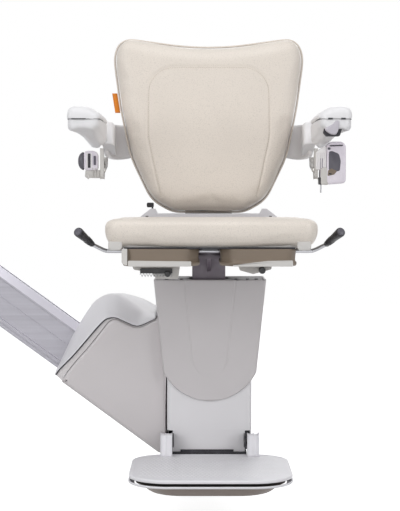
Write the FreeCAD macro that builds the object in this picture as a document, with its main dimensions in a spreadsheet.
import FreeCAD, Part
import math
import os

from FreeCAD import Placement, Rotation, Vector


# Stairlift chair, in millimetres, +Z up.
# The origin is the centre of the lower rail foot's bolt pattern, on the floor.
# The rider faces -Y. The rail climbs towards -X, and the chair is shown at its lower end.

doc = FreeCAD.newDocument("stairlift_chair")


# Driving dimensions. Each is one cell of the sheet, under its own name.
DIMENSIONS = {
    # rail
    "rail_angle": 36,
    "rail_rise": 165,
    "rail_height": 115,
    "rail_width": 50,
    "rail_below": 83,
    "rail_above": 1100,
    "rail_cap": 4,
    "tread_height": 570,
    "foot_spacing": 850,
    "foot_plate": 6,
    "foot_width": 110,
    "foot_length": 150,
    "foot_hole": 9,
    "hole_reach_x": 45,
    "hole_reach_y": 42,
    "clamp_bolt": 6,
    # rack and pinion
    "gear_module": 4,
    "pinion_teeth": 14,
    "pinion_face": 14,
    "pinion_bore": 12,
    "backlash": 0.25,
    "rack_width": 18,
    # carriage
    "chassis_plate": 6,
    "chassis_front": 40,
    "chassis_rear": 36,
    "roller_radius": 17.2,
    "roller_width": 13,
    "axle_radius": 4,
    "shell_wall": 3,
    "cover_front": 170,
    "cover_back": 44,
    "hump_front": 60,
    "housing_back": 55,
    "seal_width": 2,
    "motor_radius": 31,
    "motor_length": 76,
    "gearbox_depth": 40,
    "battery_long": 151,
    "battery_short": 65,
    "battery_wide": 94,
    # column
    "column_half": 95,
    "column_front": 188,
    "column_bottom": 111,
    "column_top": 505,
    "shield_front": 195,
    "tube_half": 45,
    "tube_wall": 4,
    "post_half": 38,
    "post_centre": 125,
    "post_top": 556,
    # footrest
    "hinge_depth": 212,
    "hinge_height": 140,
    "deck_top": 110,
    "deck_lip": 6,
    "deck_half": 173,
    "deck_front": 520,
    "deck_back": 206,
    "pan_gap": 5,
    "pan_bottom": 71,
    # swivel and seat
    "swivel_depth": 235,
    "mount_plate": 8,
    "bearing_height": 6,
    "swivel_radius": 75,
    "seat_frame_top": 585.5,
    "seat_frame_plate": 5,
    "box_bottom": 548,
    "box_front": 500,
    "box_back": 320,
    "seat_half": 218,
    "seat_front": 515,
    "seat_back": 172,
    "seat_under": 592,
    "seat_shoulder": 642,
    "seat_crown": 649,
    "seat_hinge_depth": 155,
    "seat_hinge_height": 640,
    "pin_radius": 4,
    # back
    "back_front": 145,
    "back_rear": 75,
    "shell_back": 55,
    # arms
    "arm_outer": 300,
    "arm_inner": 226,
    "arm_top": 884,
    "arm_part": 855,
    "arm_under": 826,
    "arm_front": 430,
    "arm_back": 92,
    "arm_pivot_depth": 112,
    "arm_pivot_height": 815,
    # lever under the seat
    "lever_depth": 340,
    "lever_height": 575,
    "lever_rod": 4.5,
}

sheet = doc.addObject("Spreadsheet::Sheet", "Sizes")
for row, (name, number) in enumerate(DIMENSIONS.items(), start=1):
    sheet.set(f"A{row}", name)
    sheet.set(f"B{row}", str(number))
    sheet.setAlias(f"B{row}", name)
doc.recompute()

parts = []


def size(name):
    """The number that the sheet holds under a name."""
    return float(sheet.get(name))


def keep(thing, label, place=None):
    """Name a finished sub-part, place it and list it for writing."""
    thing.Label = label
    if place is not None:
        thing.Placement = place
    parts.append(thing)
    return thing


def at(x, y, z):
    """A placement that only shifts."""
    return Placement(Vector(x, y, z), Rotation())


# Outlines: corner points with a radius each, joined by lines and arcs


def corner_points(before, corner, after, radius):
    """Start, middle and end of the arc that rounds one corner."""
    here = Vector(corner[0], corner[1], 0)
    back = (Vector(before[0], before[1], 0) - here).normalize()
    ahead = (Vector(after[0], after[1], 0) - here).normalize()
    half = back.getAngle(ahead) / 2
    reach = radius / math.tan(half)
    middle = (back + ahead).normalize()
    centre = here + middle * (radius / math.sin(half))
    return here + back * reach, centre - middle * radius, here + ahead * reach


def rounded(points):
    """Lines and arcs round a closed outline of (x, y) or (x, y, radius) corners."""
    count = len(points)
    starts, ends, arcs = [], [], []
    for index, point in enumerate(points):
        radius = point[2] if len(point) > 2 else 0
        if radius:
            first, mid, last = corner_points(
                points[index - 1], point, points[(index + 1) % count], radius
            )
            arcs.append(Part.Arc(first, mid, last))
        else:
            first = last = Vector(point[0], point[1], 0)
            arcs.append(None)
        starts.append(first)
        ends.append(last)
    segments = []
    for index in range(count):
        if arcs[index]:
            segments.append(arcs[index])
        following = starts[(index + 1) % count]
        if ends[index].distanceToPoint(following) > 1e-6:
            segments.append(Part.LineSegment(ends[index], following))
    return segments


def rectangle(x_low, x_high, y_low, y_high, radius=0):
    """Corners of a rectangle, all with one radius."""
    corners = [(x_low, y_low), (x_high, y_low), (x_high, y_high), (x_low, y_high)]
    return [(x, y, radius) for x, y in corners]


def circle(x, y, radius):
    """One full circle, as a list like the outlines."""
    return [Part.Circle(Vector(x, y, 0), Vector(0, 0, 1), radius)]


# Sketch, pad and pocket


def plane_of(body, role):
    """One of a body's own origin planes."""
    return next(item for item in body.Origin.OriginFeatures if item.Role == role)


def new_sketch(body, role, wires):
    """A sketch on an origin plane that holds closed outlines."""
    sketch = body.newObject("Sketcher::SketchObject", "outline")
    sketch.AttachmentSupport = [(plane_of(body, role), "")]
    sketch.MapMode = "FlatFace"
    for wire in wires:
        sketch.addGeometry(wire, False)
    return sketch


def padded_body(role, wires, length, shift=0):
    """A body with one pad. Length is an expression on the sheet, shift the pad's start."""
    body = doc.addObject("PartDesign::Body", "Body")
    sketch = new_sketch(body, role, wires)
    sketch.AttachmentOffset = at(0, 0, shift)
    pad = body.newObject("PartDesign::Pad", "Pad")
    pad.Profile = sketch
    pad.setExpression("Length", length)
    doc.recompute()
    return body


def pocket(body, role, wires, length, shift=0, reverse=False):
    """Cut outlines out of a body, and make sure that something came off."""
    before = body.Shape.Volume
    sketch = new_sketch(body, role, wires)
    sketch.AttachmentOffset = at(0, 0, shift)
    cut = body.newObject("PartDesign::Pocket", "Pocket")
    cut.Profile = sketch
    cut.Reversed = reverse
    cut.setExpression("Length", length)
    doc.recompute()
    if body.Shape.Volume > before - 1:
        raise RuntimeError("a pocket cuts nothing")
    return body


def round_edges(body, radius, test):
    """Fillet the edges of a body's last feature that pass a test."""
    tip = body.Tip
    names = [
        f"Edge{number}"
        for number, edge in enumerate(tip.Shape.Edges, start=1)
        if test(edge)
    ]
    fillet = body.newObject("PartDesign::Fillet", "Fillet")
    fillet.Base = (tip, names)
    fillet.setExpression("Radius", radius)
    doc.recompute()
    return body


def rod(radius, height, place):
    """A Part cylinder. Radius and height are expressions."""
    cylinder = doc.addObject("Part::Cylinder", "Rod")
    cylinder.setExpression("Radius", radius)
    cylinder.setExpression("Height", height)
    cylinder.Placement = place
    return cylinder


def block(corner, length, width, height):
    """A Part box from its low corner. The three sizes are expressions."""
    box = doc.addObject("Part::Box", "Block")
    box.setExpression("Length", length)
    box.setExpression("Width", width)
    box.setExpression("Height", height)
    box.Placement = at(*corner)
    return box


def together(*things):
    """Group separate solids under one node."""
    group = doc.addObject("Part::Compound", "Group")
    group.Links = list(things)
    doc.recompute()
    return group


def shaped(label, shape, place=None):
    """A sub-part whose shape is worked out with Part's own functions."""
    thing = doc.addObject("Part::Feature", "Shape")
    thing.Shape = shape
    return keep(thing, label, place)


# Solids for the shapes worked out directly


def face_of(points):
    """A flat face in the XY plane from outline corners."""
    return Part.Face(Part.Wire([segment.toShape() for segment in rounded(points)]))


def prism_xz(points, y_front, y_back):
    """A prism whose outline is drawn in X and Z, from one Y to another."""
    face = face_of(points)
    face.rotate(Vector(0, 0, 0), Vector(1, 0, 0), 90)
    face.translate(Vector(0, y_front, 0))
    return face.extrude(Vector(0, y_back - y_front, 0))


def prism_xy(points, z_low, z_high):
    """A prism whose outline is drawn in X and Y."""
    face = face_of(points)
    face.translate(Vector(0, 0, z_low))
    return face.extrude(Vector(0, 0, z_high - z_low))


def prism_yz(points, x_low, x_high):
    """A prism whose outline is drawn in Y and Z."""
    face = face_of(points)
    face.rotate(Vector(0, 0, 0), Vector(1, 1, 1), 120)
    face.translate(Vector(x_low, 0, 0))
    return face.extrude(Vector(x_high - x_low, 0, 0))


def box_solid(x_low, x_high, y_low, y_high, z_low, z_high):
    """A box from its limits."""
    lengths = (x_high - x_low, y_high - y_low, z_high - z_low)
    return Part.makeBox(*lengths, Vector(x_low, y_low, z_low))


def cylinder_x(radius, x_low, x_high, y, z):
    """A cylinder along X."""
    return Part.makeCylinder(radius, x_high - x_low, Vector(x_low, y, z), Vector(1, 0, 0))


def cylinder_y(radius, y_low, y_high, x, z):
    """A cylinder along Y."""
    return Part.makeCylinder(radius, y_high - y_low, Vector(x, y_low, z), Vector(0, 1, 0))


def cylinder_z(radius, z_low, z_high, x, y):
    """A cylinder along Z."""
    return Part.makeCylinder(radius, z_high - z_low, Vector(x, y, z_low), Vector(0, 0, 1))


def fillet_where(shape, radius, test):
    """Round the edges of a solid that pass a test."""
    return shape.makeFillet(radius, [edge for edge in shape.Edges if test(edge)])


def mirrored_x(shape):
    """The same shape on the other side of the chair."""
    return shape.mirror(Vector(0, 0, 0), Vector(1, 0, 0))


# The rail's own directions: along it uphill, square to it towards the rider, and square up

ANGLE = math.radians(size("rail_angle"))
UPHILL = Vector(-math.cos(ANGLE), 0, math.sin(ANGLE))
FORWARD = Vector(0, -1, 0)
SQUARE_UP = Vector(math.sin(ANGLE), 0, math.cos(ANGLE))
RAIL_TURN = Rotation(UPHILL, FORWARD, SQUARE_UP, "XYZ")
RAIL = Placement(Vector(0, 0, size("rail_rise")), RAIL_TURN)


def along_rail(x):
    """The rail's frame, shifted along it."""
    return RAIL.multiply(at(x, 0, 0))


def world_xz(along, up):
    """World X and Z of a point given along the rail and square to it."""
    point = RAIL.multVec(Vector(along, 0, up))
    return point.x, point.z


# Rail


def rail_section():
    """Corners of the rail's section, front to the right, as sketch coordinates."""
    half = size("rail_width") / 2
    low = -size("rail_height")
    front_side = [
        (half - 11, 0, 1),
        (half, -18, 2),
        (half, -21),
        (half - 3, -22),
        (half - 3, -56),
        (half - 1, -56),
        (half - 1, -58),
        (half - 3, -58),
        (half - 3, -97),
        (half, -98),
        (half, -104),
        (half - 2, -104),
        (half - 2, -107),
        (half, -107),
        (half, low, 2),
    ]
    slot = [(4, low), (4, low + 4), (8, low + 4), (8, low + 10)]
    slot += [(-x, z) for x, z in reversed(slot)]
    rear_side = [
        (-half, low, 2),
        (-half, -101),
        (-half + 16, -101),
        (-half + 16, -66),
        (-half, -66),
        (-half, -53),
        (-half + 16, -53),
        (-half + 16, -18),
        (-half, -18),
        (-half, 0, 1),
    ]
    rack_seat = [(-12, 0), (-12, -13), (6, -13), (6, 0)]
    return front_side + slot + rear_side + rack_seat


def rail_extrusion():
    """The aluminium extrusion, with roller channels behind and a hollow core."""
    chamber = rounded(rectangle(-4, 18, -94, -24, 4))
    length = "Sizes.rail_below + Sizes.rail_above"
    body = padded_body("YZ_Plane", [rounded(rail_section()), chamber], length)
    keep(body, "rail_extrusion", along_rail(-size("rail_below")))


def rail_end_caps():
    """The same cap closes both ends of the rail."""
    half = size("rail_width") / 2
    low = -size("rail_height")
    outline = [(half - 11, 0, 1), (half, -18, 2), (half, low, 3), (-half, low, 3), (-half, 0, 3)]
    lower = padded_body("YZ_Plane", [rounded(outline)], "Sizes.rail_cap")
    lower.Placement = along_rail(-size("rail_below") - size("rail_cap"))
    upper = padded_body("YZ_Plane", [rounded(outline)], "Sizes.rail_cap")
    upper.Placement = along_rail(size("rail_above"))
    keep(together(lower, upper), "rail_end_caps")


MODULE = size("gear_module")
PITCH = math.pi * MODULE
ADDENDUM = 0.8 * MODULE
DEDENDUM = MODULE
PRESSURE = math.radians(20)
RACK_LINE = -4.5
RACK_BOTTOM = -13


def rack_profile(first, last):
    """The rack's outline: one trapezium tooth for each pitch from first to last."""
    slope = math.tan(PRESSURE)
    half = PITCH / 4 - size("backlash") / 2
    tip = half - ADDENDUM * slope
    root = half + DEDENDUM * slope
    top = RACK_LINE + ADDENDUM
    bottom = RACK_LINE - DEDENDUM
    start = (first - 0.5) * PITCH
    end = (last + 0.5) * PITCH
    points = [(end, bottom), (end, RACK_BOTTOM), (start, RACK_BOTTOM), (start, bottom)]
    for number in range(first, last + 1):
        middle = number * PITCH
        points += [
            (middle - root, bottom),
            (middle - tip, top),
            (middle + tip, top),
            (middle + root, bottom),
        ]
    return points


def rail_rack():
    """A steel rack set into the top of the rail."""
    segments = rounded(rack_profile(-5, 86))
    body = padded_body("XZ_Plane", [segments], "Sizes.rack_width")
    keep(body, "rail_rack", RAIL.multiply(at(0, 6, 0)))


def saddle_corners(start, end):
    """World corners of the plate under the rail, from one place along it to another."""
    low = -size("rail_height")
    thick = size("foot_plate")
    corners = [(start, low), (end, low), (end, low - thick), (start, low - thick)]
    return [world_xz(along, up) for along, up in corners]


def rail_foot(label, centre, floor, start, end):
    """A welded foot: drilled base plate, two gussets and a saddle under the rail."""
    plate = size("foot_plate")
    low = -size("rail_height") - plate
    half = size("rail_width") / 2
    base_back = centre - size("foot_length") * 0.6
    base_front = centre + size("foot_length") * 0.4
    base = prism_xy(
        rectangle(base_back, base_front, -size("foot_width") / 2, size("foot_width") / 2, 10),
        floor,
        floor + plate,
    )
    for x_side in (-1, 1):
        for y_side in (-1, 1):
            x = centre + x_side * size("hole_reach_x")
            y = y_side * size("hole_reach_y")
            hole = cylinder_z(size("foot_hole") / 2, floor - 1, floor + plate + 1, x, y)
            base = base.cut(hole)
    saddle = prism_xz(saddle_corners(start, end), -half, half)
    for along in clamp_places(start, end):
        hole = Part.makeCylinder(size("clamp_bolt") / 2 + 0.5, plate + 2, Vector(along, 0, low - 1))
        hole.Placement = RAIL.multiply(hole.Placement)
        saddle = saddle.cut(hole)
    lower = world_xz(start + 4, low + 1)
    upper = world_xz(end - 2, low + 1)
    web = [(upper[0], floor + plate / 2), (lower[0], floor + plate / 2), lower, upper]
    gussets = [
        prism_xz(web, side * half - (plate if side > 0 else 0), side * half + (plate if side < 0 else 0))
        for side in (-1, 1)
    ]
    shaped(label, base.fuse([saddle] + gussets).removeSplitter())


def clamp_places(start, end):
    """Where along a saddle its two bolts go."""
    return [start + 28, end - 26]


def clamp_bolt(along):
    """A bolt with its hexagon head under the saddle and its T-nut in the rail's slot."""
    under = -size("rail_height") - size("foot_plate")
    radius = size("clamp_bolt") / 2
    head = Part.Face(Part.makePolygon([
        Vector(along + 5.8 * math.cos(turn * math.pi / 3), 5.8 * math.sin(turn * math.pi / 3), under)
        for turn in range(7)
    ])).extrude(Vector(0, 0, -5))
    shank = Part.makeCylinder(radius, size("foot_plate") + 5, Vector(along, 0, under))
    nut = Part.makeBox(14, 14, 5, Vector(along - 7, -7, -size("rail_height") + 4.5))
    bolt = head.fuse([shank, nut])
    bolt.Placement = RAIL.multiply(bolt.Placement)
    return bolt


LOWER_SADDLE = (-78, 22)
UPPER_SADDLE = (935, 1035)


def rail_feet():
    """The lower foot stands on the floor, the upper one on the third tread."""
    rail_foot("rail_foot_lower", 0, 0, *LOWER_SADDLE)
    rail_foot("rail_foot_upper", -size("foot_spacing"), size("tread_height"), *UPPER_SADDLE)
    places = clamp_places(*LOWER_SADDLE) + clamp_places(*UPPER_SADDLE)
    shaped("rail_clamp_bolts", Part.makeCompound([clamp_bolt(along) for along in places]))


rail_extrusion()
rail_end_caps()
rail_rack()
rail_feet()


# Drive pinion and rollers


PINION_ALONG = 17.5 * PITCH
PINION_UP = RACK_LINE + MODULE * size("pinion_teeth") / 2
ROLLER_PLACES = [(108, -35.5), (318, -35.5), (108, -83.5), (318, -83.5)]


def involute(base, radius):
    """Angle that an involute from a base circle has turned through at a radius."""
    reach = math.sqrt((radius / base) ** 2 - 1)
    return reach - math.atan(reach)


def pinion_profile():
    """Corners of the pinion's outline, with one tooth pointing straight down."""
    teeth = int(size("pinion_teeth"))
    pitch_radius = MODULE * teeth / 2
    base = pitch_radius * math.cos(PRESSURE)
    tip = pitch_radius + ADDENDUM
    root = pitch_radius - DEDENDUM
    half = (PITCH / 2 - size("backlash")) / 2 / pitch_radius + involute(base, pitch_radius)
    steps = [base + (tip - base) * step / 4 for step in range(5)]
    points = []
    for number in range(teeth):
        middle = -math.pi / 2 + 2 * math.pi * number / teeth
        rising = [(root, middle - half)] + [(r, middle - half + involute(base, r)) for r in steps]
        falling = [(r, middle + half - involute(base, r)) for r in reversed(steps)]
        falling.append((root, middle + half))
        points += [(r * math.cos(turn), r * math.sin(turn)) for r, turn in rising + falling]
    return points


def drive_pinion():
    """The toothed wheel that climbs the rack."""
    profile = rounded(pinion_profile())
    bore = circle(0, 0, size("pinion_bore") / 2)
    body = padded_body("XZ_Plane", [profile, bore], "Sizes.pinion_face")
    keep(body, "drive_pinion", RAIL.multiply(at(PINION_ALONG, 4, PINION_UP)))


def rollers():
    """Four wheels that run in the rail's two rear channels."""
    for number, (along, up) in enumerate(ROLLER_PLACES, start=1):
        outline = circle(0, 0, size("roller_radius"))
        bore = circle(0, 0, size("axle_radius") + 0.04)
        body = padded_body("XZ_Plane", [outline, bore], "Sizes.roller_width")
        keep(body, f"roller_{number}", RAIL.multiply(at(along, -11, up)))


# Carriage frame and drive


def rail_box(x_low, x_high, y_low, y_high, z_low, z_high):
    """A box in the rail's frame, put in its place in the world."""
    solid = box_solid(x_low, x_high, y_low, y_high, z_low, z_high)
    solid.Placement = RAIL.multiply(solid.Placement)
    return solid


def rail_cylinder(radius, y_low, y_high, along, up):
    """A cylinder across the rail, in the rail's frame, put in its place."""
    solid = cylinder_y(radius, y_low, y_high, along, up)
    solid.Placement = RAIL.multiply(solid.Placement)
    return solid


def carriage_chassis():
    """Steel saddle over the rail: rear plate with axles, bridge, front plate and cover guide pin."""
    plate = size("chassis_plate")
    front = size("chassis_front")
    rear = size("chassis_rear")
    rear_plate = rail_box(75, 345, -rear, -rear + plate, -108, 66)
    bridge = rail_box(150, 290, -rear, front, 60, 66)
    slope = [world_xz(along, up) for along, up in [(318, -104), (318, 30), (290, 66), (150, 66)]]
    column = [(-80, 470), (80, 470, 12), (80, 125, 12), (-118, 125)]
    front_plate = prism_xz(slope + column, -front, -front + plate)
    front_plate = front_plate.cut(rail_cylinder(14, 20, 60, PINION_ALONG, PINION_UP))
    frame = rear_plate.fuse([bridge, front_plate])
    for along, up in ROLLER_PLACES:
        frame = frame.fuse(rail_cylinder(size("axle_radius"), -rear + plate - 1, -11, along, up))
    guide_post = rail_box(258, 270, -8, 8, 66, 96)
    guide_pin = Part.makeCylinder(4, 110, RAIL.multVec(Vector(255, 0, 88)), UPHILL)
    frame = frame.fuse([guide_post, guide_pin])
    shaped("carriage_chassis", frame.removeSplitter())


def drive_unit():
    """Flat gearbox with the pinion's shaft behind it, and the motor in front."""
    front = size("chassis_front")
    gearbox = rail_box(184, 256, front, front + size("gearbox_depth"), -14, 59)
    gearbox = fillet_where(gearbox, 6, lambda edge: abs(edge.tangentAt(0).y) > 0.9)
    shaft = rail_cylinder(size("pinion_bore") / 2 - 0.04, -12, front, PINION_ALONG, PINION_UP)
    collar = rail_cylinder(12, front - 10, front, PINION_ALONG, PINION_UP)
    shaped("gearbox", gearbox.fuse([shaft, collar]))
    start = front + size("gearbox_depth")
    end = start + size("motor_length")
    radius = size("motor_radius")
    motor = rail_cylinder(radius, start, end, PINION_ALONG, PINION_UP)
    cap = rail_cylinder(radius - 8, end, 162, PINION_ALONG, PINION_UP)
    shaped("drive_motor", motor.fuse(cap))


def batteries():
    """Two sealed batteries, one lying along the rail and one standing square to it."""
    front = size("chassis_front")
    depth = "Sizes.battery_wide"
    lower = block((94, front + 2, -108), "Sizes.battery_long", depth, "Sizes.battery_short")
    lower.Placement = RAIL.multiply(lower.Placement)
    upper = block((262, front + 2, -108), "Sizes.battery_short", depth, "Sizes.battery_long")
    upper.Placement = RAIL.multiply(upper.Placement)
    keep(together(lower, upper), "batteries")


def control_board():
    """The controller: a board under the cover's top with its relays and terminal block."""
    board = box_solid(-196, -134, -150, -48, 371, 373)
    pieces = [
        box_solid(-192, -174, -140, -118, 373, 385),
        box_solid(-192, -174, -112, -90, 373, 385),
        box_solid(-168, -144, -140, -100, 373, 380),
        box_solid(-190, -140, -70, -58, 373, 384),
    ]
    shaped("control_board", board.fuse(pieces))


# Carriage covers, drawn in X and Z


# Top edge of the front cover, from its low left corner to the column
COVER_EDGE = [
    (-339, 269, 4),
    (-331, 288, 8),
    (-296, 325, 60),
    (-252, 382, 60),
    (-236, 402, 14),
    (-218, 413, 10),
    (-186, 403, 30),
    (-158, 393, 30),
    (-127, 408, 10),
    (-98, 424, 4),
]
COVER_LOW = [(-98, 100), (-117, 107, 6)]


def shell_of(outline, y_front, y_back, wall, bend):
    """A tray open at the back: a rounded block less the same outline drawn in by the wall."""
    outer = prism_xz(outline, y_front, y_back)
    outer = fillet_where(
        outer, bend, lambda edge: abs(edge.BoundBox.YMin - y_front) < 0.01 and edge.BoundBox.YLength < 0.01
    )
    inner_face = face_of(outline).makeOffset2D(-wall)
    inner_face.rotate(Vector(0, 0, 0), Vector(1, 0, 0), 90)
    inner_face.translate(Vector(0, y_front + wall, 0))
    inner = inner_face.extrude(Vector(0, y_back - y_front, 0))
    return outer.cut(inner)


def carriage_front_cover():
    """The moulded cover over the drive, open behind."""
    outline = COVER_EDGE + COVER_LOW
    cover = shell_of(outline, -size("cover_front"), -size("cover_back"), size("shell_wall"), 2.5)
    shaped("carriage_front_cover", cover)


def carriage_seal_strip():
    """A soft strip that lies on the cover's edge, under the arched cover."""
    face = face_of(COVER_EDGE + COVER_LOW)
    ring = face.makeOffset2D(size("seal_width")).cut(face)
    ring.rotate(Vector(0, 0, 0), Vector(1, 0, 0), 90)
    ring.translate(Vector(0, -158, 0))
    strip = ring.extrude(Vector(0, 60, 0))
    keeper = prism_xz([(-345, 274), (-130, 340), (-130, 500), (-400, 500)], -300, 0)
    shaped("carriage_seal_strip", strip.common(keeper))


def offset_points(points, distance):
    """Outline corners moved square to the outline, outwards for a positive distance."""
    moved = []
    for index, point in enumerate(points):
        here = Vector(point[0], point[1], 0)
        before = points[index - 1]
        after = points[(index + 1) % len(points)]
        back = (here - Vector(before[0], before[1], 0)).normalize()
        ahead = (Vector(after[0], after[1], 0) - here).normalize()
        side = Vector(-back.y, back.x, 0) + Vector(-ahead.y, ahead.x, 0)
        shift = side * (2 * distance / side.Length / side.Length)
        moved.append((here.x + shift.x, here.y + shift.y))
    return moved


def wire_xz(points, y):
    """A closed wire of straight edges at one depth."""
    corners = [Vector(px, y, pz) for px, pz in points]
    return Part.makePolygon(corners + corners[:1])


# The arched cover's front edge and its ridge, corner for corner, both run clockwise
ARCH_FRONT = [
    (-348, 276),
    (-338, 293),
    (-303, 331),
    (-275, 366),
    (-258, 390),
    (-243, 409),
    (-231, 417),
    (-217, 420),
    (-205, 417),
    (-184, 409),
    (-158, 401),
    (-129.5, 417),
]
ARCH_RIDGE = [
    (-359, 283),
    (-330, 341),
    (-301, 399),
    (-285, 427),
    (-266, 448),
    (-254, 459),
    (-240, 466),
    (-225, 470),
    (-210, 470),
    (-190, 465),
    (-160, 455),
    (-129.5, 441),
]
ARCH_LOW = [(-129.5, 118)]
# Low corners of the hollow, past the cover's open underside and its open lower end
HOLLOW_RIGHT = -100
HOLLOW_LOW = [(HOLLOW_RIGHT, 60), (-364, 246)]


def hollow_outline(edge):
    """An edge drawn in by the wall, and carried on past the open underside and lower end."""
    inner = offset_points(edge + ARCH_LOW, -size("shell_wall"))[: len(edge)]
    slope = (edge[-1][1] - edge[-2][1]) / (edge[-1][0] - edge[-2][0])
    inner[-1] = (HOLLOW_RIGHT, inner[-2][1] + slope * (HOLLOW_RIGHT - inner[-2][0]))
    return inner + HOLLOW_LOW


def arch_solid(front, ridge, y_front, y_back):
    """The arched cover as a full block: sloping in front of its ridge, straight behind it."""
    y_ridge = -size("hump_front")
    slope = Part.makeLoft([wire_xz(front, y_front), wire_xz(ridge, y_ridge)], True, True)
    behind = Part.Face(wire_xz(ridge, y_ridge)).extrude(Vector(0, y_back - y_ridge, 0))
    return slope.fuse(behind)


def carriage_top_cover():
    """The arched cover over the carriage's upper end, a safety edge that gives when it meets something."""
    y_front = -(size("cover_front") - 5)
    y_back = size("housing_back")
    block_shape = arch_solid(ARCH_FRONT + ARCH_LOW, ARCH_RIDGE + ARCH_LOW, y_front, y_back)
    front = hollow_outline(ARCH_FRONT)
    ridge = hollow_outline(ARCH_RIDGE)
    hollow = arch_solid(front, ridge, y_front, y_back)
    front_gap = prism_xz(front, y_front - 10, y_front + 20)
    back_gap = prism_xz(ridge, y_back - 20, y_back + 10)
    cover = block_shape.cut([hollow, front_gap, back_gap])
    lower = size("rail_height") + 4
    cover = cover.common(rail_box(0, 600, -200, 200, -lower + 1, 300))
    cover = cover.cut(rail_box(0, 600, -30, 30, -lower, 5))
    cover = max(cover.Solids, key=lambda solid: solid.Volume)
    lug = rail_box(352, 376, -12, 12, 78, 98).common(block_shape)
    lug = lug.cut(Part.makeCylinder(4.4, 60, RAIL.multVec(Vector(320, 0, 88)), UPHILL))
    shaped("carriage_top_cover", cover.fuse(lug))


def carriage_rear_cover():
    """The flat cover behind the carriage."""
    back = size("housing_back")
    plate = prism_xz(ARCH_RIDGE + ARCH_LOW, back + 0.6, back + 3.6)
    shaped("carriage_rear_cover", plate)


drive_pinion()
rollers()
carriage_chassis()
drive_unit()
batteries()
control_board()
carriage_front_cover()
carriage_seal_strip()
carriage_top_cover()
carriage_rear_cover()


# Column


def column_frame():
    """Square steel tube, with a flange behind that bolts to the chassis."""
    half = size("tube_half")
    centre = -size("post_centre")
    outer = rectangle(-half, half, centre - half, centre + half, 6)
    wall = size("tube_wall")
    inner = rectangle(-half + wall, half - wall, centre - half + wall, centre + half - wall, 3)
    tube = prism_xy(outer, 130, 500).cut(prism_xy(inner, 129, 501))
    flange = box_solid(-70, 70, -46, -40, 140, 460)
    web = box_solid(-35, 35, centre + half - 1, -45, 150, 450)
    frame = tube.fuse([flange, web])
    for z in (440, 470):
        frame = frame.cut(cylinder_x(4.5, -60, 60, centre, z))
    shaped("column_frame", frame.removeSplitter())


def seat_post():
    """The inner post, bolted at the height that suits the rider."""
    half = size("post_half")
    centre = -size("post_centre")
    outer = rectangle(-half, half, centre - half, centre + half, 5)
    inner = rectangle(-half + 4, half - 4, centre - half + 4, centre + half - 4, 2)
    post = prism_xy(outer, 300, size("post_top")).cut(prism_xy(inner, 299, 560))
    for z in (320, 350, 380, 410, 440, 470):
        post = post.cut(cylinder_x(4.5, -60, 60, centre, z))
    shaped("seat_post", post)


def height_lock_bolts():
    """Two bolts right through tube and post, with a head and a nut outside."""
    bolts = []
    for z in (440, 470):
        shank = cylinder_x(4, -56, 56, -size("post_centre"), z)
        head = cylinder_x(8, -51, -45, -size("post_centre"), z)
        nut = cylinder_x(7.5, 45, 52, -size("post_centre"), z)
        bolts.append(shank.fuse([head, nut]))
    shaped("height_lock_bolts", Part.makeCompound(bolts))


def column_lower_cover():
    """The lower column cover: a channel open behind, notched at the foot for the hinge."""
    half = size("column_half")
    front = -size("column_front")
    outline = [(-half, front, 12), (half, front, 12), (half, -44), (-half, -44)]
    outer = prism_xy(outline, size("column_bottom"), 424)
    wall = size("shell_wall")
    half -= wall
    front += wall
    hollow = [(-half, front, 9), (half, front, 9), (half, -40), (-half, -40)]
    cover = outer.cut(prism_xy(hollow, 100, 430))
    for side in (-1, 1):
        low, high = sorted((side * 76, side * 100))
        notch = prism_xz(rectangle(low, high, 100, 160, 6), -200, -140)
        cover = cover.cut(notch)
    shaped("column_lower_cover", cover.removeSplitter())


# The shield's outline on its right side, from the middle of its lower edge to its top
SHIELD_SIDE = [(0, 228.5, 300), (60, 233, 70), (97, 270, 32), (114, 371, 200), (128, 505)]


def column_front_shield():
    """The tapered shield: a dished front, and side walls that go back round the column's top."""
    front = -size("shield_front")
    half = size("column_half")
    side = SHIELD_SIDE[1:]
    outline = SHIELD_SIDE + [(-point[0],) + tuple(point[1:]) for point in reversed(side)]
    plate = prism_xz(outline, front, front + 6.6)
    plate = fillet_where(
        plate, 3, lambda edge: abs(edge.BoundBox.YMin - front) < 0.01 and edge.BoundBox.YLength < 0.01
    )
    hollow = face_of(outline).makeOffset2D(-4)
    hollow.rotate(Vector(0, 0, 0), Vector(1, 0, 0), 90)
    hollow.translate(Vector(0, front + 3, 0))
    plate = plate.cut(hollow.extrude(Vector(0, 20, 0)))
    for turn in (-1, 1):
        outer_edge = [(half + 1, 300), (106, 318), (114, 371), (128, 505)]
        slant = outer_edge + [(124.8, 505), (110.8, 371), (half + 1, 312)]
        wall = prism_xz([(turn * x, z) for x, z in slant], front + 6, -173)
        upper = [(119.6, 425), (128, 505), (124.8, 505), (116.4, 425)]
        deep = prism_xz([(turn * x, z) for x, z in upper], front + 6, -32)
        plate = plate.fuse([wall, deep])
    back = [(-119.6, 425), (119.6, 425), (128, 505), (-128, 505)]
    plate = plate.fuse(prism_xz(back, -33, -30))
    shaped("column_front_shield", plate.removeSplitter())


def column_rim():
    """The dark top panel of the column, with a square opening for the post."""
    top = size("column_top")
    ring = prism_xy(rectangle(-123, 123, -188, -34, 8), top - 4, top - 1)
    hole = size("tube_half") + 0.5
    centre = -size("post_centre")
    opening = prism_xy(rectangle(-hole, hole, centre - hole, centre + hole, 3), top - 9, top)
    shaped("column_rim", ring.cut(opening))


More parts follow.
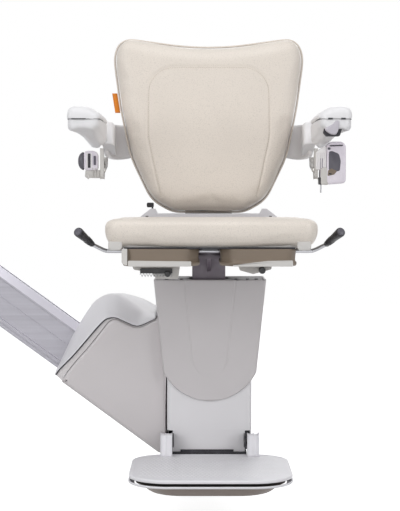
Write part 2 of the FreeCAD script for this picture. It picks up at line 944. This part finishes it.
def swivel_mount():
    """The plate on the post's top that carries the swivel forward, with its bearing and kingpin."""
    top = size("post_top")
    plate = prism_xy(rectangle(-55, 55, -295, -86, 12), top, top + size("mount_plate"))
    bearing_low = top + size("mount_plate")
    ring = cylinder_z(60, bearing_low, bearing_low + size("bearing_height"), 0, -size("swivel_depth"))
    pin = cylinder_z(12, bearing_low, 580, 0, -size("swivel_depth"))
    rib = prism_yz([(-280, top), (-163, top), (-163, top - 34)], -4, 4)
    shaped("swivel_mount", plate.fuse([ring, pin, rib]).removeSplitter())


def footrest_brackets():
    """Two plates from the column's foot that hold the footrest's stub pins."""
    y_pin = -size("hinge_depth")
    z_pin = size("hinge_height")
    plates = []
    for side in (-1, 1):
        low, high = sorted((side * 77, side * 83))
        outline = [(y_pin - 14, z_pin - 14, 12), (-60, 126), (-60, 156), (y_pin - 14, z_pin + 14, 12)]
        plate = prism_yz(outline, low, high)
        tie_low, tie_high = sorted((side * 45, side * 78))
        tie = box_solid(tie_low, tie_high, -120, -100, 130, 150)
        pin_low, pin_high = sorted((side * 82, side * 110))
        pin = cylinder_x(6, pin_low, pin_high, y_pin, z_pin)
        plates.append(plate.fuse([tie, pin]).removeSplitter())
    shaped("footrest_brackets", Part.makeCompound(plates))


column_frame()
seat_post()
height_lock_bolts()
column_lower_cover()
column_front_shield()
column_rim()
swivel_mount()
footrest_brackets()


# Footrest


def deck_outline(grow=0):
    """Plan of the footrest: wide round corners, the rear ones a little tighter."""
    half = size("deck_half") + grow
    front = -size("deck_front") - grow
    back = -size("deck_back") + grow
    return [(-half, front, 85), (half, front, 85), (half, back, 75), (-half, back, 75)]


def footrest_deck():
    """The tread plate with its shallow dished field."""
    top = size("deck_top")
    body = padded_body("XY_Plane", [rounded(deck_outline())], "Sizes.deck_lip")
    body = round_edges(body, "Sizes.deck_lip / 3", lambda edge: edge.BoundBox.ZMin > size("deck_lip") - 0.1)
    keep(body, "footrest_deck", at(0, 0, top - size("deck_lip")))


def footrest_arms():
    """The two hinge posts that stand on the deck."""
    arms = []
    y_pin = -size("hinge_depth")
    z_pin = size("hinge_height")
    for side in (-1, 1):
        low, high = sorted((side * 86, side * 112))
        outline = [
            (y_pin - 20, size("deck_top")),
            (y_pin + 5, size("deck_top")),
            (y_pin + 17, z_pin, 8),
            (y_pin + 13, z_pin + 17, 12),
            (y_pin - 15, z_pin + 17, 12),
        ]
        post = prism_yz(outline, low, high)
        hole_low, hole_high = sorted((side * 80, side * 110.5))
        arms.append(post.cut(cylinder_x(6.06, hole_low, hole_high, y_pin, z_pin)))
    shaped("footrest_arms", Part.makeCompound(arms))


def footrest_skirt():
    """A dark rubber skirt under the deck, just inside the pan's rim."""
    high = size("deck_top") - size("deck_lip")
    outer = prism_xy(deck_outline(-8), high - 4.7, high)
    inner = prism_xy(deck_outline(-11), high - 5, high - 2)
    shaped("footrest_skirt", outer.cut(inner))


def pan_wire(half, front, back, corner, z):
    """One level of the pan as a wire."""
    rear = corner * 0.85
    outline = [(-half, front, corner), (half, front, corner), (half, back, rear), (-half, back, rear)]
    wire = Part.Wire([segment.toShape() for segment in rounded(outline)])
    wire.translate(Vector(0, 0, z))
    return wire


def footrest_pan():
    """The floating pan under the deck: it lifts and stops the drive when it meets something."""
    rim_top = size("deck_top") - size("deck_lip") - size("pan_gap")
    front = -size("deck_front")
    back = -size("deck_back")
    bottom = size("pan_bottom")

    def tray(inset, low):
        levels = [
            pan_wire(110 - inset, front + 60 + inset, back - 60 - inset, 60, low),
            pan_wire(140 - inset, front + 25 + inset, back - 24 - inset, 76, bottom + 16),
            pan_wire(171 - inset, front + 2 + inset, back - 2 - inset, 84, rim_top - 4),
        ]
        return Part.makeLoft(levels, True, True)

    rim = prism_xy(deck_outline(2), rim_top - 5, rim_top)
    solid = tray(0, bottom).fuse(rim)
    hollow = tray(3, bottom + 3).fuse(prism_xy(deck_outline(-6), rim_top - 5.01, rim_top + 1))
    shaped("footrest_pan", solid.cut(hollow).removeSplitter())


footrest_deck()
footrest_arms()
footrest_skirt()
footrest_pan()


# Swivel and seat base


def swivel_plate():
    """The turning plate, with its detent notches for the riding and the leaving positions."""
    low = size("post_top") + size("mount_plate") + size("bearing_height") + 0.5
    high = size("seat_frame_top") - size("seat_frame_plate")
    body = padded_body(
        "XY_Plane",
        [circle(0, 0, size("swivel_radius")), circle(0, 0, 12.06)],
        f"{high - low} mm",
    )
    centre = at(0, -size("swivel_depth"), low)
    for turn in (-90, -45, 0, 45, 90):
        angle = math.radians(turn - 90)
        x = size("swivel_radius") * math.cos(angle)
        y = size("swivel_radius") * math.sin(angle)
        pocket(body, "XY_Plane", [circle(x, y, 6)], "20 mm", reverse=True)
    keep(body, "swivel_plate", centre)


def seat_frame():
    """The steel frame over the swivel: wide behind, a tongue in front, ears for the seat's hinge."""
    top = size("seat_frame_top")
    low = top - size("seat_frame_plate")
    outline = [
        (-20, -480, 6),
        (20, -480, 6),
        (20, -319, 6),
        (150, -319, 10),
        (150, -150, 20),
        (60, -120, 10),
        (60, -46),
        (-60, -46),
        (-60, -120, 10),
        (-150, -150, 20),
        (-150, -319, 10),
        (-20, -319, 6),
    ]
    plate = prism_xy(outline, low, top).cut(cylinder_z(12.5, low - 1, top + 1, 0, -size("swivel_depth")))
    y_pin = -size("seat_hinge_depth")
    z_pin = size("seat_hinge_height")
    for side in (-1, 1):
        x_low, x_high = sorted((side * 138, side * 144))
        profile = [
            (y_pin - 20, low),
            (y_pin + 14, low),
            (y_pin + 12, z_pin + 9, 9),
            (y_pin - 12, z_pin + 9, 9),
        ]
        ear = prism_yz(profile, x_low, x_high)
        ear = ear.cut(cylinder_x(size("pin_radius"), x_low - 1, x_high + 1, y_pin, z_pin))
        plate = plate.fuse(ear)
    shaped("seat_frame", plate.removeSplitter())


def seat_base_box(side, label):
    """One moulded housing under the seat, open on top, with a round-cornered front."""
    front = -size("box_front")
    back = -size("box_back")
    outline = [
        (20, front + 24, 10),
        (41, front, 10),
        (168, front, 14),
        (181, front + 20, 20),
        (181, back, 12),
        (20, back, 6),
    ]
    low = size("box_bottom")
    high = size("seat_frame_top")
    outer = prism_xy(outline, low, high)
    outer = fillet_where(outer, 4, lambda edge: edge.BoundBox.ZMax < low + 0.01)
    inner = face_of(outline).makeOffset2D(-3)
    inner.translate(Vector(0, 0, low + 3))
    housing = outer.cut(inner.extrude(Vector(0, 0, 60)))
    lip = box_solid(30, 180, front + 3, front + 20, high - 3, high).common(outer)
    housing = housing.fuse(lip)
    rod_way = cylinder_x(size("lever_rod") + 1.2, 10, 200, -size("lever_depth"), size("lever_height"))
    housing = housing.cut(rod_way).removeSplitter()
    housing = housing if side > 0 else mirrored_x(housing)
    shaped(label, housing)


def under_seat_latches():
    """The swivel's latch under the left housing and the cushion's latch under the right one."""
    low = size("box_bottom")
    plate = [(-163, low), (-163, 540), (-120, 534), (-112, 518, 4), (-64, 518, 4), (-60, low)]
    left = prism_xz(plate, -424, -420)
    left_flange = box_solid(-163, -60, -420, -384, low - 3, low)
    bolt = cylinder_y(6, -446, -384, -88, 530)
    keeper = cylinder_y(11, -420, -396, -88, 530)
    swivel = left.fuse([left_flange, bolt, keeper]).removeSplitter()
    plate = [(58, low), (62, 536, 4), (92, 528, 4), (132, 540, 3), (132, low)]
    right = prism_xz(plate, -424, -420)
    right_flange = box_solid(58, 132, -420, -384, low - 3, low)
    knob = cylinder_y(7, -452, -424, 110, 538)
    cushion = right.fuse([right_flange, knob]).removeSplitter()
    shaped("under_seat_latches", Part.makeCompound([swivel, cushion]))


def levers():
    """The swivel lever: a rod right through the seat base, with a bent end and a grip each side."""
    y = -size("lever_depth")
    z = size("lever_height")
    radius = size("lever_rod")
    half = 226
    rods = cylinder_x(radius, -half, half, y, z)
    for side in (-1, 1):
        knee = Vector(side * half, y, z)
        tip = Vector(side * 251, y - 12, z + 14)
        end = Vector(side * 272, y - 72, z + 38)
        first = Part.makeCylinder(radius, (tip - knee).Length, knee, tip - knee)
        second = Part.makeCylinder(radius, (end - tip).Length, tip, end - tip)
        rods = rods.fuse([first, second, Part.makeSphere(radius, knee), Part.makeSphere(radius, tip)])
    shaped("lever_rod", rods.removeSplitter())
    grips = []
    for side in (-1, 1):
        tip = Vector(side * 251, y - 12, z + 14)
        end = Vector(side * 272, y - 72, z + 38)
        along = (end - tip).normalize()
        start = tip + along * 2
        grip = Part.makeCone(6.5, 10.5, 84, start, along)
        grip = grip.cut(Part.makeCylinder(radius, 80, tip, along))
        grips.append(grip)
    shaped("lever_grips", Part.makeCompound(grips))


swivel_plate()
seat_frame()
seat_base_box(-1, "seat_base_left")
seat_base_box(1, "seat_base_right")
under_seat_latches()
levers()


# Seat


def seat_outline(inset):
    """Plan of the seat: big front corners, a front edge that bows forward."""
    half = size("seat_half") - inset
    front = -size("seat_front") + inset
    back = -size("seat_back") - inset
    return [
        (-half, front + 14, 46),
        (-half * 0.4, front, 260),
        (half * 0.4, front, 260),
        (half, front + 14, 46),
        (half - 4, back, 30),
        (-half + 4, back, 30),
    ]


def level(outline, z):
    """One level of a cushion as a wire."""
    wire = Part.Wire([segment.toShape() for segment in rounded(outline)])
    wire.translate(Vector(0, 0, z))
    return wire


def seat_cushion():
    """The crowned seat cushion, drawn in at its foot, with a sewn edge at its shoulder."""
    low = size("seat_under")
    shoulder = size("seat_shoulder")
    steps = [(10, low), (2, low + 7), (0, low + 20), (1, shoulder - 14), (6, shoulder - 4), (16, shoulder)]
    side = Part.makeLoft([level(seat_outline(inset), z) for inset, z in steps], True, True)
    crown_steps = [(19, shoulder - 1), (40, shoulder + 4), (90, size("seat_crown"))]
    crown = Part.makeLoft([level(seat_outline(inset), z) for inset, z in crown_steps], True, True)
    shaped("seat_cushion", side.fuse(crown))


def seat_pan():
    """The moulded pan under the cushion, with a rim at the sides and the hinge's ears behind."""
    low = size("seat_frame_top") + 0.5
    high = size("seat_under")
    pan = prism_xy(seat_outline(12), low, high)
    y_pin = -size("seat_hinge_depth")
    z_pin = size("seat_hinge_height")
    for side in (-1, 1):
        x_low, x_high = sorted((side * 124, side * 134))
        profile = [(y_pin - 40, low), (y_pin - 8, low), (y_pin + 10, z_pin, 6), (y_pin + 8, z_pin + 8, 6)]
        profile += [(y_pin - 10, z_pin + 8, 6), (y_pin - 16, high)]
        profile += [(y_pin - 40, high)]
        ear = prism_yz(profile, x_low, x_high)
        ear = ear.cut(cylinder_x(size("pin_radius") + 0.05, x_low - 1, x_high + 1, y_pin, z_pin))
        pan = pan.fuse(ear)
    shaped("seat_pan", pan.removeSplitter())


seat_cushion()
seat_pan()


# Back


# Right half of the back's outline, from the middle of its foot to the middle of its top
BACK_SIDE = [
    (88, 656, 40),
    (136, 684, 70),
    (183, 786, 200),
    (205, 900, 300),
    (219, 1012, 90),
    (208, 1061, 34),
    (0, 1034, 700),
]


BACK_MIDDLE = 858
BACK_REACH_X = 219
BACK_REACH_Z = 201


def back_outline(inset):
    """The back's outline in X and Z, shrunk towards its middle by about an inset."""
    narrower = 1 - inset / BACK_REACH_X
    shorter = 1 - inset / BACK_REACH_Z
    left = [(-x, z, radius) for x, z, radius in reversed(BACK_SIDE[:-1])]
    return [
        (x * narrower, BACK_MIDDLE + (z - BACK_MIDDLE) * shorter, radius * shorter)
        for x, z, radius in BACK_SIDE + left
    ]


def upright_level(outline, y):
    """One level of the back as a wire in the XZ plane."""
    wire = Part.Wire([segment.toShape() for segment in rounded(outline)])
    wire.rotate(Vector(0, 0, 0), Vector(1, 0, 0), 90)
    wire.translate(Vector(0, y, 0))
    return wire


def back_cushion():
    """The shield-shaped back cushion, with a sewn panel that stands proud in front."""
    rear = -size("back_rear")
    front = -size("back_front")
    side_steps = [(5, rear), (0.5, rear - 10), (0.5, rear - 38), (5, rear - 50), (14, rear - 57)]
    dome_steps = [(16, rear - 56), (44, rear - 64), (64, rear - 66)]
    panel_steps = [(66, rear - 63), (72, rear - 67), (96, front)]
    layers = []
    for steps in (side_steps, dome_steps, panel_steps):
        levels = [upright_level(back_outline(inset), y) for inset, y in steps]
        layers.append(Part.makeLoft(levels, True, True))
    return shaped("back_cushion", layers[0].fuse(layers[1:])).Shape


def back_shell():
    """The moulded shell behind the cushion."""
    rear = -size("back_rear")
    outer = Part.makeLoft(
        [
            upright_level(back_outline(4), rear),
            upright_level(back_outline(6), rear + 12),
            upright_level(back_outline(18), rear + 20),
        ],
        True,
        True,
    )
    shaped("back_shell", outer)


def back_upright():
    """The steel plate that carries the back, bent forward at its foot onto the seat frame."""
    back = -size("shell_back")
    top = size("seat_frame_top")
    outline = [(-55, top), (55, top), (55, 900, 14), (-55, 900, 14)]
    plate = prism_xz(outline, back, back + 8)
    slot = prism_xz(rectangle(-20, 20, 700, 780, 10), back - 1, back + 9)
    foot = box_solid(-55, 55, back - 30, back, top, top + 4)
    shaped("back_upright", plate.cut(slot).fuse(foot).removeSplitter())


def arm_yoke():
    """The moulded yoke behind the back: its two ends come forward to carry the arms."""
    back = -size("shell_back") + 8
    bar = prism_xz(
        [(-215, 782, 10), (-100, 800, 60), (100, 800, 60), (215, 782, 10), (215, 856, 10), (-215, 856, 10)],
        back,
        back + 9,
    )
    ends = []
    for side in (-1, 1):
        profile = [(-128, 784, 10), (back + 9, 780, 4), (back + 9, 858, 4), (-128, 858, 18)]
        x_low, x_high = sorted((side * 206, side * 242))
        end = prism_yz(profile, x_low, x_high)
        hollow_low, hollow_high = sorted((side * 200, side * 236))
        hollow = prism_yz([(-122, 790), (back, 786), (back, 852), (-122, 852)], hollow_low, hollow_high)
        end = end.cut(hollow)
        hole_low, hole_high = sorted((side * 230, side * 250))
        hole = cylinder_x(
            size("pin_radius"), hole_low, hole_high, -size("arm_pivot_depth"), size("arm_pivot_height")
        )
        ends.append(end.cut(hole))
    shaped("arm_yoke", bar.fuse(ends).removeSplitter())


def seat_rear_cover():
    """The moulded cover between seat and back, open behind."""
    low = size("seat_frame_top") + 0.5
    outline = [
        (-150, low, 4),
        (150, low, 4),
        (160, 645, 8),
        (134, 665, 6),
        (124, 665),
        (118, 654),
        (-118, 654),
        (-124, 665),
        (-134, 665, 6),
        (-160, 645, 8),
    ]
    outer = prism_xz(outline, -122, -86)
    hollow = [(-146, low - 2), (146, low - 2), (155, 643), (134, 651), (-134, 651), (-155, 643)]
    shaped("seat_rear_cover", outer.cut(prism_xz(hollow, -119, -80)))


def hinge_pins():
    """Stub pins: two for the seat's hinge, two for the arms."""
    radius = size("pin_radius")
    arm_pivot = (-size("arm_pivot_depth"), size("arm_pivot_height"))
    pins = []
    for side in (-1, 1):
        low, high = sorted((side * 122, side * 144))
        pins.append(cylinder_x(radius, low, high, -size("seat_hinge_depth"), size("seat_hinge_height")))
        low, high = sorted((side * 236, side * 272))
        pin = cylinder_x(radius, low, high, *arm_pivot)
        head_low, head_high = sorted((side * 232, side * 236))
        pins.append(pin.fuse(cylinder_x(radius + 3, head_low, head_high, *arm_pivot)))
    shaped("hinge_pins", Part.makeCompound(pins))


def back_trim(cushion):
    """The blank fabric tag in the side seam, and the small latch under the back."""
    tag = prism_yz(rectangle(-118, -102, 884, 930, 1), -219, -217.6)
    flap = box_solid(-217.6, -200, -110.7, -109.3, 884, 930)
    shaped("fabric_tag", tag.fuse(flap).cut(cushion))
    knob = prism_xz(rectangle(-143, -127, 668, 679, 3), -118, -104)
    stem = box_solid(-132, -128, -114, -108, 665, 668)
    shaped("back_latch", knob.fuse(stem))


cushion_shape = back_cushion()
back_shell()
back_upright()
arm_yoke()
seat_rear_cover()
hinge_pins()
back_trim(cushion_shape)


# Arms


def arm_profile(low_front, high, low_back):
    """Side profile of an arm between two heights, in Y and Z, with a rounded nose."""
    front = -size("arm_front")
    back = -size("arm_back")
    underside = [(front, low_front, 8), (-180, low_front, 40), (-140, low_back, 20)]
    return underside + [(back, low_back, 14), (back, high), (front, high)]


def arm_body(side):
    """The lower moulding of one arm: narrow at the pivot, wider ahead of it."""
    part_line = size("arm_part")
    profile = arm_profile(size("arm_under"), part_line, 795)
    whole = prism_yz(profile, size("arm_inner") + 2, size("arm_outer") - 3)
    whole = whole.cut(box_solid(220, 243.5, -166, 0, 700, part_line + 1))
    pivot = (-size("arm_pivot_depth"), size("arm_pivot_height"))
    whole = whole.cut(cylinder_x(size("pin_radius") + 0.05, 240, 273, *pivot))
    inner = size("arm_inner") + 2
    outer = size("arm_outer") - 3
    nose = -size("arm_front")
    plan = [(inner, nose, 20), (outer, nose, 24), (outer, -60), (inner, -60)]
    whole = whole.common(prism_xy(plan, 700, 900))
    if side > 0:
        whole = whole.cut(box_solid(236, 277, -432, -396, size("arm_under") - 1, part_line + 1))
    return whole if side > 0 else mirrored_x(whole)


def arm_pad(side):
    """The soft-touch pad on top of one arm, rounded all round."""
    plan = [
        (size("arm_inner"), -size("arm_front") - 2, 22),
        (size("arm_outer"), -size("arm_front") - 2, 26),
        (size("arm_outer"), -size("arm_back"), 10),
        (246, -size("arm_back"), 8),
        (246, -170, 10),
        (size("arm_inner"), -190, 10),
    ]
    top = size("arm_top")
    pad = prism_xy(plan, size("arm_part"), top)
    pad = fillet_where(pad, 7, lambda edge: edge.BoundBox.ZMin > top - 0.1)
    return pad if side > 0 else mirrored_x(pad)


TOGGLE_X = 257
TOGGLE_Z = 843


def toggle_switch():
    """The rider's paddle in the nose of the right arm, on a cross pin."""
    outline = [(241, 820, 3), (272, 820, 3), (272, 836), (258, 850, 4), (254, 850, 4), (241, 836, 3)]
    blade = prism_xz(outline, -428, -420)
    boss = cylinder_y(5, -420, -404, TOGGLE_X, TOGGLE_Z)
    shaped("toggle_paddle", blade.fuse(boss).removeSplitter())


def toggle_pin():
    """The pin that the paddle rocks on, held in the back wall of its recess."""
    return cylinder_y(2, -403.6, -396, TOGGLE_X, TOGGLE_Z)


# Seat belt


BELT_Y = -240


def buckle():
    """The buckle under the left arm: bar, body with its slot, and release button."""
    body = prism_xz(rectangle(-278, -246, 750, 795, 4), BELT_Y - 14, BELT_Y + 14)
    slot = box_solid(-268, -262, BELT_Y - 16, BELT_Y + 6, 756, 789)
    dome = Part.makeCylinder(20, 13, Vector(-291, BELT_Y, 772), Vector(1, 0, 0))
    dome = dome.common(box_solid(-300, -278, BELT_Y - 14, BELT_Y + 14, 740, 800))
    foot = prism_xz([(-284, 733, 4), (-244, 733, 4), (-244, 750), (-284, 750)], BELT_Y - 12, BELT_Y + 12)
    pocket_cut = box_solid(-256, -250, BELT_Y - 16, BELT_Y - 8, 762, 783)
    shaped("buckle_body", body.cut([slot, pocket_cut]).fuse([dome, foot]).removeSplitter())
    button = box_solid(-255.6, -250.4, BELT_Y - 17, BELT_Y - 11.6, 762.4, 782.6)
    shaped("buckle_button", fillet_where(button, 1, lambda edge: edge.BoundBox.YMax < BELT_Y - 16.9))


def belt_brackets():
    """Steel hangers under the arms: a flat bar for the buckle and one for the retractor."""
    shaped("belt_brackets", Part.makeCompound([box_bracket(-1), box_bracket(1)]))


def box_bracket(side):
    """One hanger: a bar down from the yoke's end, forward, and a bolt into what it holds."""
    profile = [
        (-127, 783.9),
        (-104, 782.9),
        (-104, 762, 10),
        (BELT_Y + 12, 738, 10),
        (BELT_Y - 12, 738, 10),
        (BELT_Y - 12, 764, 10),
        (-127, 778, 6),
    ]
    x_low, x_high = sorted((side * 229.5, side * 233.5))
    bar = prism_yz(profile, x_low, x_high)
    bolt_low, bolt_high = sorted((side * 225.5, side * (244 if side < 0 else 236)))
    bolt = cylinder_x(5, bolt_low, bolt_high, BELT_Y, 751)
    return bar.fuse(bolt).removeSplitter()


def retractor():
    """The belt retractor under the right arm, with its round window, webbing and tongue."""
    outline = [(259, 720, 8), (303, 720, 8), (303, 815, 12), (259, 815, 12)]
    front = BELT_Y - 24
    housing = prism_xz(outline, front, BELT_Y + 24)
    housing = fillet_where(
        housing, 3, lambda edge: abs(edge.BoundBox.YMin - front) < 0.01 and edge.BoundBox.YLength < 0.01
    )
    window = cylinder_y(20, BELT_Y - 30, BELT_Y - 20, 276, 771)
    window = window.common(box_solid(264, 290, -400, 0, 740, 800))
    side_wall = box_solid(236, 259, BELT_Y - 20, BELT_Y + 20, 745, 812)
    mouth = box_solid(242, 256, BELT_Y - 22, BELT_Y + 14, 740, 780)
    shaped("retractor_housing", housing.cut(window).fuse(side_wall).cut(mouth).removeSplitter())
    strap = box_solid(246, 247.4, BELT_Y - 21, BELT_Y + 12, 736, 778)
    fold = box_solid(250, 251.4, BELT_Y - 21, BELT_Y + 12, 736, 778)
    shaped("belt_webbing", Part.makeCompound([strap, fold]))
    tongue = prism_yz(rectangle(BELT_Y - 23, BELT_Y + 13, 718, 736, 3), 243, 254)
    blade = prism_yz(rectangle(BELT_Y - 12, BELT_Y + 4, 700, 718.5, 2), 247.5, 250)
    shaped("belt_tongue", tongue.fuse(blade).removeSplitter())


shaped("arm_body_left", arm_body(-1))
shaped("arm_body_right", arm_body(1).fuse(toggle_pin()))
shaped("arm_pad_left", arm_pad(-1))
shaped("arm_pad_right", arm_pad(1))
toggle_switch()
buckle()
belt_brackets()
retractor()


# Check and write

doc.recompute()
for thing in doc.Objects:
    if "Invalid" in thing.State or "Error" in thing.State:
        raise RuntimeError(f"{thing.Name} ({thing.Label}) did not recompute: {thing.State}")
for thing in parts:
    if thing.Shape.isNull() or not thing.Shape.isValid():
        raise RuntimeError(f"{thing.Label} has no valid shape")

os.makedirs("parts", exist_ok=True)
for thing in parts:
    thing.Shape.exportStep(f"parts/{thing.Label}.step")
    box = thing.Shape.BoundBox
    limits = (box.XMin, box.XMax, box.YMin, box.YMax, box.ZMin, box.ZMax)
    shown = " ".join(f"{limit:.1f}" for limit in limits)
    print(thing.Label, len(thing.Shape.Solids), f"{thing.Shape.Volume / 1000:.1f} cm3", shown)
